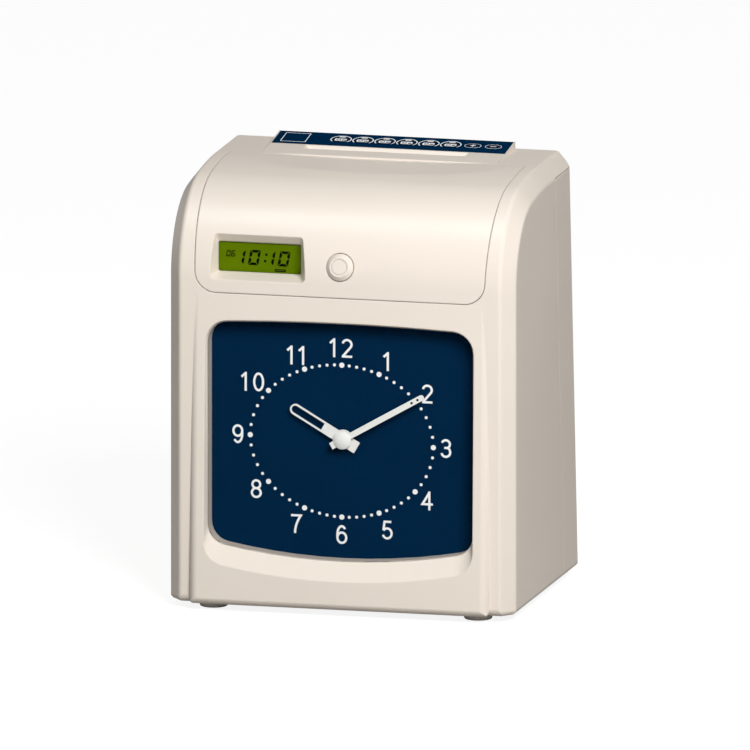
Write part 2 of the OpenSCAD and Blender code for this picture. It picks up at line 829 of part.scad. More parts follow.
module base_plate() {
    half = body_w / 2 - wall - seam;
    front = toe_y + seam;
    front_half = half - bevel_w * (1 - (front - strip_y - wall) / bevel_d);
    rear = back_y - wall - seam - 1;
    corner = rear_r;
    color(steel) difference() {
        translate([0, 0, base_z]) linear_extrude(wall) rounded(
            [[-front_half, front], [front_half, front], [half, strip_y + wall + bevel_d + seam], [half, rear],
             [-half, rear], [-half, strip_y + wall + bevel_d + seam]],
            [0, 0, 0, corner, corner, 0]
        );
        for (side = [-1, 1], y = base_post_ys)
            translate([side * base_post_x, y, 0]) cylinder(r = screw_r + 0.2, h = 30);
        for (i = [-4 : 4])
            translate([i * 8, back_y - 45, 0]) linear_extrude(30) rounded_box(3, 34, 1.4);
    }
}

module feet() {
    color(white) for (x = [-foot_x, foot_x], y = foot_ys)
        translate([x, y, 0]) rotate_extrude() {
            square([foot_dia / 2 - 1, foot_h]);
            translate([0, 1]) square([foot_dia / 2, foot_h - 1]);
            translate([foot_dia / 2 - 1, 1]) circle(r = 1);
        }
}

// Dial stack

module dial_lens() {
    color([0.9, 0.95, 1, 0.25]) dial_slab(sill_y, lens_t, dial_ledge);
}

module dial_frame() {
    color(cream) difference() {
        dial_slab(frame_y, dial_y - frame_y, dial_ledge);
        dial_slab(frame_y - over, dial_deep + 2 * over, 0);
    }
}

module dial_plate() {
    color(navy) difference() {
        dial_slab(dial_y, dial_t, dial_ledge);
        translate([0, dial_y - over, hub_z]) rod_y(pipe_r + 0.4, dial_t + 2 * over);
    }
}

// Sheet that clamps the dial and carries the movement on pillars
module backing_plate() {
    color(steel) difference() {
        union() {
            translate([0, backing_y, hub_z]) front_extrude(plate_t)
                rounded_box(dial_w - 20, ear_zs[1] - ear_zs[0] + ear_r, 6);
            for (z = ear_zs) translate([0, backing_y, z]) front_extrude(plate_t)
                rounded_box(2 * ear_x + 2 * ear_r, 2 * ear_r, ear_r - 0.01);
            for (x = [-pillar_at, pillar_at], z = [-pillar_at, pillar_at])
                translate([x, backing_y, hub_z + z]) rod_y(pillar_r, rear_plate_y - backing_y);
            translate([motion_x, backing_y, hub_z]) rod_y(stud_r, motion_y + 4 - backing_y);
        }
        translate([0, backing_y - over, hub_z]) rod_y(pipe_r + run_gap, plate_t + 2 * over);
        for (x = [-ear_x, ear_x], z = ear_zs)
            translate([x, backing_y - over, z]) rod_y(screw_r + 0.2, plate_t + 2 * over);
    }
}

// Pan-head screw pointing to the front, its head's underside at the origin
module screw_y(length) {
    rod_y(head_r, head_t);
    translate([0, -length, 0]) rod_y(pilot_r - 0.02, length);
}

module dial_screws() {
    color(steel) for (x = [-ear_x, ear_x], z = ear_zs)
        translate([x, backing_y + plate_t, z]) screw_y(8);
}

module hour_hand() {
    half = 3.15;
    slot_r = half - 0.95;
    slot_low = 13.5;
    tip = hour_l - half;
    color(white) translate([0, hour_hand_y, hub_z]) front_extrude(hand_t) rotate(60) difference() {
        union() {
            limb([0, 0], [0, tip], 2 * half);
            translate([0, -hour_tail / 2]) square([6.9, hour_tail], center = true);
            circle(r = 5.6);
        }
        circle(r = pipe_r + 0.02);
        translate([0, (slot_low + tip) / 2]) square([2 * slot_r, tip - slot_low], center = true);
        translate([0, tip]) circle(r = slot_r);
    }
}

module minute_hand() {
    color(white) translate([0, minute_hand_y, hub_z]) front_extrude(hand_t) rotate(-60) difference() {
        union() {
            limb([0, 0], [0, minute_l - 1.65], 3.3);
            translate([0, -minute_tail / 2]) square([4, minute_tail], center = true);
            circle(r = 5.2);
        }
        circle(r = cannon_r + 0.02);
    }
}

module hand_cap() {
    cap_r = 5.1;
    dome_r = 10;
    dome_h = 1.6;
    color(white) translate([0, minute_hand_y, hub_z]) rotate([90, 0, 0]) difference() {
        intersection() {
            cylinder(r = cap_r, h = dome_h);
            translate([0, 0, dome_h - dome_r]) sphere(r = dome_r);
        }
        translate([0, 0, -over]) cylinder(r = arbor_r + 0.02, h = dome_h);
    }
}

// Clock movement

module minute_arbor() {
    color(brass) translate([0, 0, hub_z]) {
        translate([0, minute_hand_y - 0.4, 0]) rod_y(arbor_r, rear_plate_y + 3 - minute_hand_y);
        translate([0, minute_hand_y + 0.05, 0]) rod_y(cannon_r, motion_y + 2.4 - minute_hand_y);
        translate([0, motion_y - 0.4, 0]) front_extrude(gear_t + 0.8) gear_outline(cannon_teeth, gear_m, 0);
        translate([0, minute_y, 0]) front_extrude(gear_t) difference() {
            gear_outline(minute_teeth, gear_m, motor_turn);
            for (i = [0 : 4]) rotate(i * 72 + 9) translate([14, 0]) circle(r = 5);
        }
        translate([0, minute_y - 1, 0]) rod_y(5, gear_t + 2);
    }
}

module hour_wheel() {
    color(brass) difference() {
        translate([0, 0, hub_z]) {
            translate([0, hour_hand_y - 0.2, 0]) rod_y(pipe_r, hour_y + gear_t - hour_hand_y + 0.2);
            translate([0, hour_y, 0]) front_extrude(gear_t) gear_outline(hour_teeth, hour_m, 0);
        }
        translate([0, hour_hand_y - 5, hub_z]) rod_y(cannon_r + run_gap, 40);
    }
}

module motion_wheel() {
    color(brass) difference() {
        translate([motion_x, 0, hub_z]) {
            translate([0, motion_y, 0]) front_extrude(gear_t)
                gear_outline(motion_teeth, gear_m, 180 + 180 / motion_teeth);
            translate([0, hour_y - 0.2, 0]) front_extrude(motion_y - hour_y + 0.3)
                gear_outline(motion_pinion_teeth, hour_m, 180 + 180 / motion_pinion_teeth);
        }
        translate([motion_x, hour_y - 5, hub_z]) rod_y(stud_r + run_gap, 20);
    }
}

module motor_pinion() {
    color(steel) translate([motor_x, 0, motor_z]) {
        translate([0, minute_y - 1, 0]) front_extrude(gear_t + 2)
            gear_outline(pinion_teeth, gear_m, motor_turn - 180 + 180 / pinion_teeth);
        translate([0, minute_y, 0]) rod_y(1, rear_plate_y + plate_t + 3 - minute_y);
    }
}

module movement_plate() {
    color(steel) difference() {
        translate([0, rear_plate_y, hub_z]) front_extrude(plate_t)
            rounded_box(2 * pillar_at + 10, 2 * pillar_at + 10, 5);
        translate([0, rear_plate_y - over, hub_z]) rod_y(arbor_r + run_gap, plate_t + 2 * over);
        translate([motor_x, rear_plate_y - over, motor_z]) rod_y(1.5, plate_t + 2 * over);
    }
}

module clock_motor() {
    color(black) translate([motor_x, rear_plate_y + plate_t, motor_z]) difference() {
        union() {
            rod_y(12, 10);
            front_extrude(2) rounded_box(32, 10, 4.9);
        }
        translate([0, -over, 0]) rod_y(1 + run_gap, 5);
    }
}

// Display and release button

module lcd_window() {
    color([0.9, 0.95, 0.8, 0.4]) translate([-lcd_x, lcd_y, lcd_z])
        front_extrude(lcd_window_t) square([lcd_w + 2 * lcd_lip, lcd_h + 2 * lcd_lip], center = true);
}

module lcd_panel() {
    color([0.36, 0.47, 0.01]) translate([-lcd_x, lcd_y + lcd_window_t, lcd_z])
        front_extrude(lcd_panel_t) square([lcd_w + 2 * lcd_lip, lcd_h + 2 * lcd_lip], center = true);
}

module lcd_board() {
    color(board_green) translate([-lcd_x, lcd_board_y, lcd_z]) {
        front_extrude(board_t) square([lcd_w + 16, 2 * lcd_post_z + 9], center = true);
        translate([6, board_t, 0]) front_extrude(2) square([14, 10], center = true);
        translate([-16, board_t, 0]) front_extrude(5) square([6, 16], center = true);
    }
}

module release_button() {
    r = button_dia / 2;
    lift = 0.4;
    top = lift + 2.2;
    top_r = 5.6;
    groove_r = 4.2;
    color(cream) on_button() rotate_extrude() difference() {
        union() {
            translate([0, -flange_n - 1.5]) square([r + 1.8, 1.5]);
            polygon([[0, -flange_n - 0.5], [r, -flange_n - 0.5], [r, lift], [top_r, top], [0, top]]);
        }
        translate([groove_r, top - 0.4]) square([0.35, 1]);
    }
}

// Coil spring between the button's flange and its retainer
module button_spring() {
    turns = 4;
    rings = 24;
    sides = 6;
    wire = 0.45;
    coil_r = 6;
    rise = spring_l - 2 * wire - 0.02;
    count = turns * rings;
    points = [
        for (i = [0 : count], k = [0 : sides - 1])
            let (a = i * 360 / rings, w = polar(wire, k * 360 / sides))
            [(coil_r + w[0]) * cos(a), (coil_r + w[0]) * sin(a), w[1] + rise * (i / count - 0.5)]
    ];
    faces = [
        for (i = [0 : count - 1], k = [0 : sides - 1])
            let (j = (k + 1) % sides, a = i * sides, b = a + sides)
            each [[a + k, b + k, b + j], [a + k, b + j, a + j]],
        for (k = [1 : sides - 2]) [0, k, k + 1],
        for (k = [1 : sides - 2]) [count * sides, count * sides + k + 1, count * sides + k]
    ];
    color(steel) on_button() translate([0, 0, -flange_n - 1.5 - spring_l / 2]) polyhedron(points, faces);
}

module button_retainer() {
    color(steel) on_button() translate([0, 0, -retainer_n - sheet]) linear_extrude(sheet)
        rounded_box(2 * retainer_x + 6, 14, 3);
}

module hinge_pins() {
    pin_l = hinge_arm_w + 2 * lug_gap + 2 * lug_w;
    color(steel) at_hinges() rod_x(pin_dia / 2 - 0.02, pin_l);
}

// Keypad

module keypad_overlay() {
    color(navy) on_plinth() difference() {
        translate([-overlay_w / 2, overlay_s, -overlay_sink])
            cube([overlay_w, plinth_l - overlay_s - 2 * plinth_rear, overlay_t]);
        for (i = [0 : 5]) translate([key_x0 + i * key_pitch, key_s, -5])
            cylinder(d = key_dia + 2 * key_gap, h = 10);
        for (x = function_xs) translate([x, key_s, -5]) linear_extrude(10)
            rounded_box(function_w + 2 * key_gap, function_l + 2 * key_gap, function_l / 2 + key_gap - 0.01);
    }
}

module keypad_board() {
    color(board_green) on_plinth() {
        translate([-window_w / 2 - 4, key_s - window_l / 2, board_n - board_t])
            cube([window_w + 8, window_l - 2, board_t]);
        for (x = concat([for (i = [0 : 5]) key_x0 + i * key_pitch], function_xs))
            translate([x - 3, key_s - 3, board_n]) cube([6, 6, switch_h]);
    }
}
switch_h = 1.8;

// Flange, stem and cap of a key, from the switch up
module key_body() {
    flange_n = overlay_t - overlay_sink - overlay_t - flange_drop - flange_t;
    translate([0, 0, board_n + switch_h + key_travel + 0.1])
        cylinder(r = 2, h = flange_n - board_n - switch_h - key_travel);
    translate([0, 0, flange_n]) linear_extrude(flange_t) offset_free_flange() children();
    translate([0, 0, flange_n]) linear_extrude(key_proud - flange_n) children();
}
module offset_free_flange() {
    children();
    scale(flange_grow) children();
}

module round_key(i) {
    color(navy) on_plinth() translate([key_x0 + (i - 1) * key_pitch, key_s, 0])
        key_body() circle(d = key_dia);
}
module function_key(x) {
    color(navy) on_plinth() translate([x, key_s, 0])
        key_body() rounded_box(function_w, function_l, function_l / 2 - 0.01);
}
module key_1() { round_key(1); }
module key_2() { round_key(2); }
module key_3() { round_key(3); }
module key_4() { round_key(4); }
module key_5() { round_key(5); }
module key_6() { round_key(6); }
module function_key_left() { function_key(function_xs[0]); }
module function_key_right() { function_key(function_xs[1]); }

// Printer

module chassis_plate(side) {
    mid_y = (chassis_front + chassis_rear) / 2;
    color(steel) difference() {
        union() {
            translate([side * (plate_x + sheet / 2), 0, 0]) side_extrude(sheet) rounded(
                [[chassis_front, floor_z], [chassis_rear, floor_z], [chassis_rear, chassis_top],
                 [chassis_front, chassis_top]], [0, 0, 6, 6]);
            translate([side * (plate_x + 7), mid_y, floor_z + sheet / 2])
                cube([14, chassis_rear - chassis_front, sheet], center = true);
        }
        translate([side * plate_x, mid_y - 12, (chute_low + feed_z) / 2]) side_extrude(20)
            rounded_box(26, feed_z - chute_low - 50, 6);
        translate([side * plate_x, rod_y, rod_z]) rod_x(rod_dia / 2 + 0.02, 20);
        translate([side * plate_x, rod_y, screw_z]) rod_x(journal_r + run_gap, 20);
        translate([side * plate_x, feed_y, feed_z]) rod_x(feed_r + run_gap, 20);
        translate([side * plate_x, pinch_y, feed_z]) rod_x(pinch_r + run_gap, 20);
    }
}
module chassis_left() { chassis_plate(-1); }
module chassis_right() { chassis_plate(1); }

module card_guide_front() {
    color(steel) difference() {
        translate([-plate_x, throat_y - sheet, chute_low])
            cube([2 * plate_x, sheet, top_z - 7 - chute_low]);
        translate([0, throat_y - 5, print_z]) front_extrude(10) square([throat_w - 4, 14], center = true);
        both_sides(tyre_x) translate([0, throat_y - 5, feed_z]) front_extrude(10)
            square([tyre_w + 3, pinch_dia + 3], center = true);
    }
}

module card_guide_rear() {
    color(steel) difference() {
        union() {
            translate([-plate_x, throat_rear, chute_low])
                cube([2 * plate_x, sheet, top_z - 7 - chute_low]);
            translate([-plate_x, throat_y + fit_gap, chute_low])
                cube([2 * plate_x, throat_d + sheet - fit_gap, sheet]);
        }
        translate([0, throat_rear - over, print_z]) front_extrude(10) square([throat_w + 8 + fit_gap, 14], center = true);
        both_sides(tyre_x) translate([0, throat_rear - over, feed_z]) front_extrude(10)
            square([tyre_w + 3, feed_dia + 2], center = true);
    }
}

module platen() {
    color(black) {
        translate([0, throat_rear, print_z]) front_extrude(5) rounded_box(throat_w + 8, 13.4, 1);
        translate([-plate_x, throat_rear + sheet, print_z - 4]) cube([2 * plate_x, 6, 8]);
    }
}

module feed_shaft() {
    color(steel) translate([0, feed_y, feed_z]) translate([1, 0, 0]) rod_x(feed_r, 2 * gear_x + 8);
}

module feed_tyres() {
    color(black) translate([0, feed_y, feed_z]) both_sides(tyre_x) difference() {
        rod_x(feed_dia / 2, tyre_w);
        rod_x(feed_r + 0.02, 2 * tyre_w);
    }
}

// Gear in a plane across X
module gear_x_at(teeth, phase) {
    translate([gear_x + 1.5, 0, 0]) side_extrude(3) gear_outline(teeth, gear_m, phase);
}

module feed_gear() {
    color(white) translate([0, feed_y, feed_z]) difference() {
        gear_x_at(feed_teeth, -90);
        translate([gear_x, 0, 0]) rod_x(feed_r + 0.02, 20);
    }
}

module feed_pinion() {
    color(brass) translate([0, feed_y, feed_z - feed_far]) {
        gear_x_at(feed_pinion_teeth, 90 + 180 / feed_pinion_teeth);
        translate([gear_x + 5, 0, 0]) rod_x(1.5, 8);
    }
}

module feed_motor() {
    face = gear_x + 5;
    color(black) translate([0, feed_y, feed_z - feed_far]) difference() {
        union() {
            translate([face + 9, 0, 0]) rod_x(12, 18);
            translate([face + 0.75, 0, 0]) side_extrude(1.5) rounded_box(46, 10, 4.9);
            for (y = [-18, 18])
                translate([(plate_x + sheet + face) / 2, y, 0]) rod_x(2.5, face - plate_x - sheet);
        }
        translate([face, 0, 0]) rod_x(1.5 + run_gap, 12);
    }
}

module pinch_roller() {
    color(black) translate([0, pinch_y, feed_z]) {
        rod_x(pinch_r, 2 * (plate_x + sheet) + 2);
        both_sides(tyre_x) rod_x(pinch_dia / 2, tyre_w);
    }
}

module print_carriage() {
    low = screw_z - 4.5;
    color(black) difference() {
        translate([0, rod_y, (low + rod_z + 4) / 2]) side_extrude(carriage_w)
            rounded_box(16, rod_z + 4 - low, 2);
        translate([0, rod_y, rod_z]) rod_x(rod_dia / 2 + run_gap, 2 * carriage_w);
        translate([0, rod_y, screw_z]) rod_x(screw_r_lead + run_gap, 2 * carriage_w);
    }
}

module print_head() {
    root = rod_y + 8;
    nose = throat_y - sheet - 1.1;
    color(steel) {
        translate([0, root, print_z]) front_extrude(7) rounded_box(22, 17, 2);
        for (i = [-2 : 2]) translate([0, root + 3.5, print_z + i * 3.5 - 0.5])
            translate([-12, -3.5, 0]) cube([24, 7, 1]);
        translate([0, root + 6, print_z]) front_extrude(nose - root - 6) square([8, 10], center = true);
    }
}

module guide_rod() {
    color(steel) translate([0, rod_y, rod_z]) rod_x(rod_dia / 2, 2 * (plate_x + sheet) + 1);
}

module lead_screw() {
    color(steel) translate([0, rod_y, screw_z]) {
        rod_x(screw_r_lead, 2 * plate_x - 1);
        translate([-2, 0, 0]) rod_x(journal_r, 2 * (plate_x + sheet) + 6);
    }
}

module carriage_motor() {
    face = plate_x + sheet;
    color(black) translate([-face, rod_y, screw_z]) difference() {
        union() {
            translate([-9, 0, 0]) rod_x(10, 18);
            translate([-1, 0, 0]) side_extrude(2) rounded_box(32, 8, 3.9);
        }
        rod_x(journal_r + run_gap, 14);
    }
}

// Ribbon cassette: a body with two arms that hold the ribbon in front of the card
module ribbon_cassette() {
    rear = throat_y - sheet - 0.5;
    body_front = rod_y - 26;
    body_rear = rod_y - 10;
    color(black) difference() {
        union() {
            translate([0, 0, print_z - cassette_h / 2]) linear_extrude(cassette_h) {
                translate([0, (body_front + body_rear) / 2]) rounded_box(2 * plate_x, body_rear - body_front, 3);
                both_sides((arm_in + arm_out) / 2) translate([0, (body_rear + rear) / 2 - over / 2])
                    square([arm_out - arm_in, rear - body_rear + over], center = true);
            }
            translate([0, rear - 0.1, print_z]) front_extrude(0.3) square([2 * arm_in + 4, 9], center = true);
        }
        translate([-knob_x, knob_y, 0]) cylinder(r = 2 + run_gap, h = 2 * top_z);
    }
}
knob_x = 40;
knob_y = rod_y - 18;

module ribbon_knob() {
    top = print_z + cassette_h / 2;
    color(white) translate([-knob_x, knob_y, 0]) {
        translate([0, 0, top + 0.3]) linear_extrude(7) difference() {
            circle(r = 6);
            for (i = [0 : 11]) rotate(i * 30) translate([6.2, 0]) circle(r = 0.7);
        }
        translate([0, 0, top - 8]) cylinder(r = 2, h = 10);
    }
}

// Electronics

module main_board() {
    y = chassis_rear;
    low = chute_low + 10;
    high = feed_z - 26;
    color(board_green) {
        translate([-plate_x - sheet, y, low]) cube([2 * (plate_x + sheet), board_t, high - low]);
        translate([-14, y + board_t, (low + high) / 2]) cube([28, 3, 28]);
        translate([-44, y + board_t, high - 24]) cube([22, 3, 12]);
        for (i = [0 : 3]) translate([-46, y + board_t, low + 8 + i * 14]) cube([7, 6, 11]);
        for (i = [0 : 2]) translate([24 + i * 11, y + board_t, low + 12]) rod_y(4, 12);
    }
}

module transformer() {
    y = chassis_front + 20;
    color(steel) translate([28, y, floor_z]) {
        translate([-16, -12, 0]) cube([32, 24, 38]);
        translate([-11, -18, 6]) cube([22, 36, 26]);
        translate([-24, -9, 0]) cube([48, 18, 1.5]);
    }
}

module backup_battery() {
    y = chassis_front + 20;
    color(navy) translate([-28, y, floor_z]) {
        translate([-19, -14, 0]) cube([38, 28, 2]);
        for (i = [-1 : 1]) translate([0, i * 9.2, 2 + 4.5]) rod_x(4.7, 34);
    }
}

// Power socket in the back: a body behind the wall, a face frame and two pins
module power_inlet() {
    color(black) on_back() translate([inlet_x, 0, inlet_z]) {
        difference() {
            union() {
                translate([0, -wall - 12, 0]) front_extrude(wall + 12.4) square([inlet_w, inlet_h], center = true);
                translate([0, -wall - 2, 0]) front_extrude(2) square([inlet_w + 6, inlet_h + 5], center = true);
            }
            translate([0, -9, 0]) front_extrude(20) rounded_box(inlet_w - 4, inlet_h - 5, 4);
        }
        for (x = [-4.3, 4.3]) translate([x, -10, 0]) rod_y(1.2, 8);
    }
}

module rear_screws() {
    color(steel) for (side = [-1, 1], z = post_zs)
        on_back() translate([side * post_x, -12, z]) screw_y(cover_d);
}

module base_screws() {
    color(steel) for (x = [-base_post_x, base_post_x], y = base_post_ys)
        translate([x, y, base_z]) {
            cylinder(r = pilot_r - 0.02, h = base_post_h - 4);
            translate([0, 0, -1.8]) cylinder(r = head_r, h = 1.8);
        }
}

front_housing();
access_cover();
rear_cover();
base_plate();
feet();
dial_lens();
dial_frame();
dial_plate();
backing_plate();
dial_screws();
hour_hand();
minute_hand();
hand_cap();
minute_arbor();
hour_wheel();
motion_wheel();
motor_pinion();
movement_plate();
clock_motor();
lcd_window();
lcd_panel();
lcd_board();
release_button();
button_spring();
button_retainer();
hinge_pins();
keypad_overlay();
keypad_board();
key_1();
key_2();
key_3();
key_4();
key_5();
key_6();
function_key_left();
function_key_right();
chassis_left();
chassis_right();
card_guide_front();
card_guide_rear();
platen();
feed_shaft();
feed_tyres();
feed_gear();
pinch_roller();
feed_motor();
feed_pinion();
print_carriage();
print_head();
guide_rod();
lead_screw();
carriage_motor();
ribbon_cassette();
ribbon_knob();
main_board();
transformer();
backup_battery();
power_inlet();
rear_screws();
base_screws();
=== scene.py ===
"""Looks of the time clock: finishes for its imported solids, prints, light and camera."""

import json
import math

import bmesh
import bpy
from mathutils import Matrix, Vector


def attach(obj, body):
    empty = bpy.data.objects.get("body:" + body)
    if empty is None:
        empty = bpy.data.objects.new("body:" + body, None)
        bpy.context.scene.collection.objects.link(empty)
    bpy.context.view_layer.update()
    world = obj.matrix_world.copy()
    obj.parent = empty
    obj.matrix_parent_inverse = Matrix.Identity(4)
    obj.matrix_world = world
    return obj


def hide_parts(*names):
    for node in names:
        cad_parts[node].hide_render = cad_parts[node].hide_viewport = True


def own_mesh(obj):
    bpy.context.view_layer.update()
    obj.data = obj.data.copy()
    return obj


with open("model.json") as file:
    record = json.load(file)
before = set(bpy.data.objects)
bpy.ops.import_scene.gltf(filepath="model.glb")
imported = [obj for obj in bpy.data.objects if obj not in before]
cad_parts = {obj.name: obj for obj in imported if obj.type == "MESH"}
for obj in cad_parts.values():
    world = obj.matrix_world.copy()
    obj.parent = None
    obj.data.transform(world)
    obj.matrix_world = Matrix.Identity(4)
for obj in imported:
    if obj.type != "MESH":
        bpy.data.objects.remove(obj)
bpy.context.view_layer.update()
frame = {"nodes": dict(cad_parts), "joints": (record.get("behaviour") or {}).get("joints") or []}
nodes = frame["nodes"]
joints = {j["name"]: j for j in frame["joints"]}
axes = {name: Vector(j["axis"]) for name, j in joints.items()}
MM = 0.001


def show(obj):
    """Puts a new object into the scene."""
    bpy.context.collection.objects.link(obj)
    return obj


# Finishes

DRIFT_LOW, DRIFT_HIGH = 0.3, 0.7
DRIFT_DETAIL, GRAIN_DETAIL, EDGE_SAMPLES = 5, 3, 6
GRAIN_DEEP = 0.1 * MM
SMOOTHEST = 0.02


def linear(r, g, b):
    """Colour as a photograph gives it, 0 to 255, in the shader's linear values."""
    out = []
    for c in (r, g, b):
        c /= 255
        out.append(c / 12.92 if c <= 0.04045 else ((c + 0.055) / 1.055) ** 2.4)
    return out


def finish(name, colour, rough, metal=0.0, level=0.5, vary=0.03, vary_scale=30.0, rough_vary=0.04,
           grain=0.0, grain_scale=2200.0, stretch=(1, 1, 1), edge=0.0, alpha=1.0):
    """Principled material whose colour and roughness drift a little, with a fine grain and softened edges."""
    m = bpy.data.materials.new(name)
    m.use_nodes = True
    tree = m.node_tree
    add, link = tree.nodes.new, tree.links.new
    shader = tree.nodes["Principled BSDF"]
    shader.inputs["Metallic"].default_value = metal
    shader.inputs["Specular IOR Level"].default_value = level
    shader.inputs["Alpha"].default_value = alpha
    base = linear(*colour)
    coords = add("ShaderNodeTexCoord")
    mapping = add("ShaderNodeMapping")
    mapping.inputs["Scale"].default_value = stretch
    link(coords.outputs["Object"], mapping.inputs["Vector"])
    drift = add("ShaderNodeTexNoise")
    drift.inputs["Scale"].default_value = vary_scale
    drift.inputs["Detail"].default_value = DRIFT_DETAIL
    link(mapping.outputs["Vector"], drift.inputs["Vector"])
    ramp = add("ShaderNodeValToRGB")
    low, high = ramp.color_ramp.elements
    low.position, high.position = DRIFT_LOW, DRIFT_HIGH
    low.color = [c * (1 - vary) for c in base] + [1]
    high.color = [min(1, c * (1 + vary)) for c in base] + [1]
    link(drift.outputs["Fac"], ramp.inputs["Fac"])
    link(ramp.outputs["Color"], shader.inputs["Base Color"])
    spread = add("ShaderNodeMapRange")
    spread.inputs["From Min"].default_value = DRIFT_LOW
    spread.inputs["From Max"].default_value = DRIFT_HIGH
    spread.inputs["To Min"].default_value = max(SMOOTHEST, rough - rough_vary)
    spread.inputs["To Max"].default_value = rough + rough_vary
    link(drift.outputs["Fac"], spread.inputs["Value"])
    link(spread.outputs["Result"], shader.inputs["Roughness"])
    normal = None
    if edge:
        soft = add("ShaderNodeBevel")
        soft.samples = EDGE_SAMPLES
        soft.inputs["Radius"].default_value = edge
        normal = soft.outputs["Normal"]
    if grain:
        fine = add("ShaderNodeTexNoise")
        fine.inputs["Scale"].default_value = grain_scale
        fine.inputs["Detail"].default_value = GRAIN_DETAIL
        link(mapping.outputs["Vector"], fine.inputs["Vector"])
        bump = add("ShaderNodeBump")
        bump.inputs["Strength"].default_value = grain
        bump.inputs["Distance"].default_value = GRAIN_DEEP
        link(fine.outputs["Fac"], bump.inputs["Height"])
        if normal:
            link(normal, bump.inputs["Normal"])
        normal = bump.outputs["Normal"]
    if normal:
        link(normal, shader.inputs["Normal"])
    return m


CREAM = (233, 223, 211)
# Cream darkened for the dial frame: painted shade of the dial's recess, not a colour of its own
CREAM_PAINTED_SHADE = (200, 190, 178)
cream = finish("cream_moulding", CREAM, 0.42, vary=0.012, vary_scale=14, grain=0.12, edge=0.001)
cream_lid = finish("cream_lid", CREAM, 0.39, vary=0.012, vary_scale=14, grain=0.12, edge=0.0012)
# Dial frame's material: a darker copy of the cream moulding, painted shade
cream_painted_shade = finish("cream_painted_shade", CREAM_PAINTED_SHADE, 0.5, vary=0.015, vary_scale=14, grain=0.15, edge=0.0004)
pale_rubber = finish("pale_rubber", (252, 248, 242), 0.6, vary=0.03, grain=0.25, edge=0.0005)
navy_dial = finish("navy_dial", (2, 38, 69), 0.6, level=0.0, vary=0.05, vary_scale=18, grain=0.1)
navy_film = finish("navy_film", (1, 40, 71), 0.5, level=0.0, vary=0.05, vary_scale=40,
                   grain=0.2, grain_scale=4000)
navy_key = finish("navy_key", (1, 28, 54), 0.5, level=0.02, vary=0.05, vary_scale=60,
                  grain=0.2, grain_scale=4000, edge=0.0003)
white_print = finish("white_print", (250, 252, 252), 0.5, level=0.2, vary=0.01, vary_scale=200, grain=0.05)
white_hand = finish("white_hand", (244, 245, 241), 0.4, level=0.3, vary=0.012, vary_scale=80,
                    grain=0.05, edge=0.0002)
white_plastic = finish("white_plastic", (236, 236, 231), 0.38, vary=0.02, vary_scale=60,
                       grain=0.1, edge=0.0003)
clear = finish("clear_window", (6, 8, 9), 0.08, vary=0.02, rough_vary=0.02, alpha=0.03)
display = finish("display_green", (91, 117, 4), 0.5, level=0.0, vary=0.05, vary_scale=60, grain=0.05)
segment = finish("display_ink", (8, 14, 5), 0.5, level=0.0, vary=0.2, vary_scale=300, grain=0.05)
ink = finish("dark_ink", (10, 16, 24), 0.5, level=0.0, vary=0.2, vary_scale=300, grain=0.05)
steel = finish("plain_steel", (186, 188, 190), 0.32, metal=1.0, vary=0.06, vary_scale=60,
               stretch=(1, 1, 12), grain=0.15, grain_scale=900, edge=0.0002)
turned = finish("turned_steel", (200, 201, 203), 0.2, metal=1.0, vary=0.04, vary_scale=90,
                stretch=(12, 1, 1), grain=0.1, grain_scale=900, edge=0.0002)
brass = finish("plain_brass", (205, 170, 92), 0.28, metal=1.0, vary=0.08, vary_scale=90,
               grain=0.12, edge=0.0001)
board = finish("circuit_board", (22, 92, 50), 0.35, vary=0.16, vary_scale=420, grain=0.3, grain_scale=1500)
black = finish("black_moulding", (30, 30, 32), 0.45, vary=0.1, vary_scale=60, grain=0.3, edge=0.0003)
rubber = finish("black_rubber", (24, 24, 24), 0.8, vary=0.15, vary_scale=120,
                grain=0.5, grain_scale=1200, edge=0.0003)
wrap = finish("battery_wrap", (18, 46, 110), 0.3, vary=0.06, vary_scale=60, grain=0.1)
core = finish("laminated_core", (120, 120, 122), 0.45, metal=0.8, vary=0.18, vary_scale=200,
              stretch=(1, 1, 30), grain=0.3)

FINISHES = {
    cream: "front_housing rear_cover release_button",
    cream_lid: "access_cover",
    cream_painted_shade: "dial_frame",
    pale_rubber: "feet",
    navy_dial: "dial_plate",
    navy_film: "keypad_overlay",
    navy_key: "key_1 key_2 key_3 key_4 key_5 key_6 function_key_left function_key_right",
    white_hand: "hour_hand minute_hand hand_cap",
    white_plastic: "feed_gear ribbon_knob",
    clear: "dial_lens lcd_window",
    display: "lcd_panel",
    steel: "base_plate backing_plate movement_plate button_retainer chassis_left chassis_right "
           "card_guide_front card_guide_rear print_head",
    turned: "dial_screws motor_pinion button_spring hinge_pins feed_shaft guide_rod lead_screw "
            "rear_screws base_screws",
    brass: "minute_arbor hour_wheel motion_wheel feed_pinion",
    board: "lcd_board keypad_board main_board",
    black: "clock_motor feed_motor print_carriage carriage_motor ribbon_cassette power_inlet",
    rubber: "feed_tyres platen pinch_roller",
    wrap: "backup_battery",
    core: "transformer",
}
for material, names in FINISHES.items():
    for name in names.split():
        slots = nodes[name].material_slots
        if not slots:
            nodes[name].data.materials.append(material)
        for s in slots:
            s.material = material


# Drawing of the prints, in millimetres on a face: x to the right, y up the face, z out of it

FRONT = Vector((0, -1, 0))
LEVEL = Vector((1, 0, 0))
FLATNESS = 0.01 * MM
SHARPEST_MITRE = 0.5


def middle(node, out):
    """Middle of a node's flat that faces out, in millimetres."""
    points = [v.co for v in nodes[node].data.vertices]
    top = max(p.dot(out) for p in points)
    flat = [p for p in points if p.dot(out) > top - FLATNESS]
    return Vector([(min(p[k] for p in flat) + max(p[k] for p in flat)) / 2 for k in range(3)]) / MM


